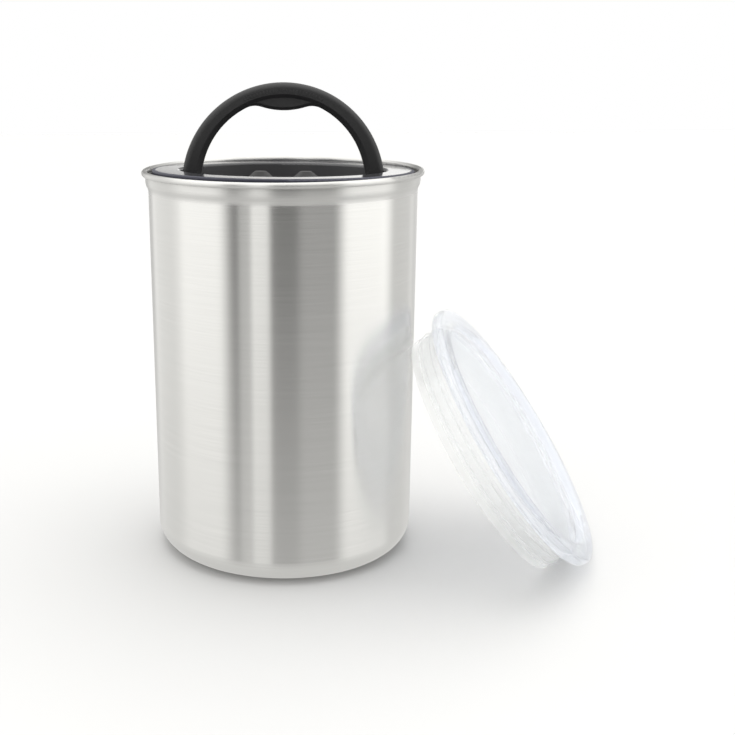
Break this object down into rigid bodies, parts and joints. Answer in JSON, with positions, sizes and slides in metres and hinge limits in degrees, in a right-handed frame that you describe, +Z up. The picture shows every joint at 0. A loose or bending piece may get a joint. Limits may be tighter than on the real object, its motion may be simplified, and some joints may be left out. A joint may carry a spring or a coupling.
{
  "type": "coffee canister",
  "caption": "Cylindrical steel coffee canister with a push-down inner lid that vents air through sprung valves, a folding handle, and a clear press-in outer lid leaning beside it.",
  "frame": {"origin": "centre of the can's base, on the surface that it stands on", "axes": "+Z up along the can's axis, -Y towards the front of the handle, +X towards the leaning outer lid"},
  "size_m": [0.2101, 0.1536, 0.2157],
  "materials": {
    "can_steel": "fine brushing round the can, satin",
    "pin_steel": "drawn bright",
    "gloss_black": "polished moulding",
    "matte_black": "fine moulded grain",
    "black_silicone": "satin",
    "clear_plastic": "clear, polished",
    "milky_silicone": "translucent, satin"
  },
  "bodies": {
    "canister": {"canister_shell": "can_steel"},
    "inner_lid": {"plunger_dish": "gloss_black", "plunger_base": "matte_black", "wiper_seal": "black_silicone", "valve_seat_left": "gloss_black", "valve_spring_left": "pin_steel", "valve_seat_right": "gloss_black", "valve_spring_right": "pin_steel"},
    "handle": {"handle": "matte_black", "pivot_pin_left": "pin_steel", "pivot_pin_right": "pin_steel"},
    "outer_lid": {"lid_cover": "clear_plastic", "lid_gasket": "milky_silicone"},
    "valve_left": {"valve_cap_left": "matte_black", "valve_seal_left": "black_silicone", "valve_retainer_left": "pin_steel"},
    "valve_right": {"valve_cap_right": "matte_black", "valve_seal_right": "black_silicone", "valve_retainer_right": "pin_steel"}
  },
  "joints": [
    {"name": "inner_lid_slide", "type": "slide", "parent": "canister", "child": "inner_lid", "axis": [0, 0, 1], "range_m": [-0.134, 0.1]},
    {"name": "handle_fold", "type": "hinge", "parent": "inner_lid", "child": "handle", "pos_m": [0.00014, 0.0004, 0.16969], "axis": [-1, 0.0001, 0.0092], "range_deg": [0, 90]},
    {"name": "outer_lid_off", "type": "slide", "parent": "canister", "child": "outer_lid", "axis": [0.8039, -0.19, 0.5635], "range_m": [0, 0.12]},
    {"name": "valve_lift_left", "type": "slide", "parent": "inner_lid", "child": "valve_left", "axis": [0.0092, 0.0252, 0.9996], "range_m": [0, 0.002], "stiffness_N_per_m": 60, "springref_m": -0.004, "deforming": ["valve_spring_left"]},
    {"name": "valve_lift_right", "type": "slide", "parent": "inner_lid", "child": "valve_right", "axis": [0.0092, 0.0252, 0.9996], "range_m": [0, 0.002], "stiffness_N_per_m": 60, "springref_m": -0.004, "deforming": ["valve_spring_right"]}
  ]
}
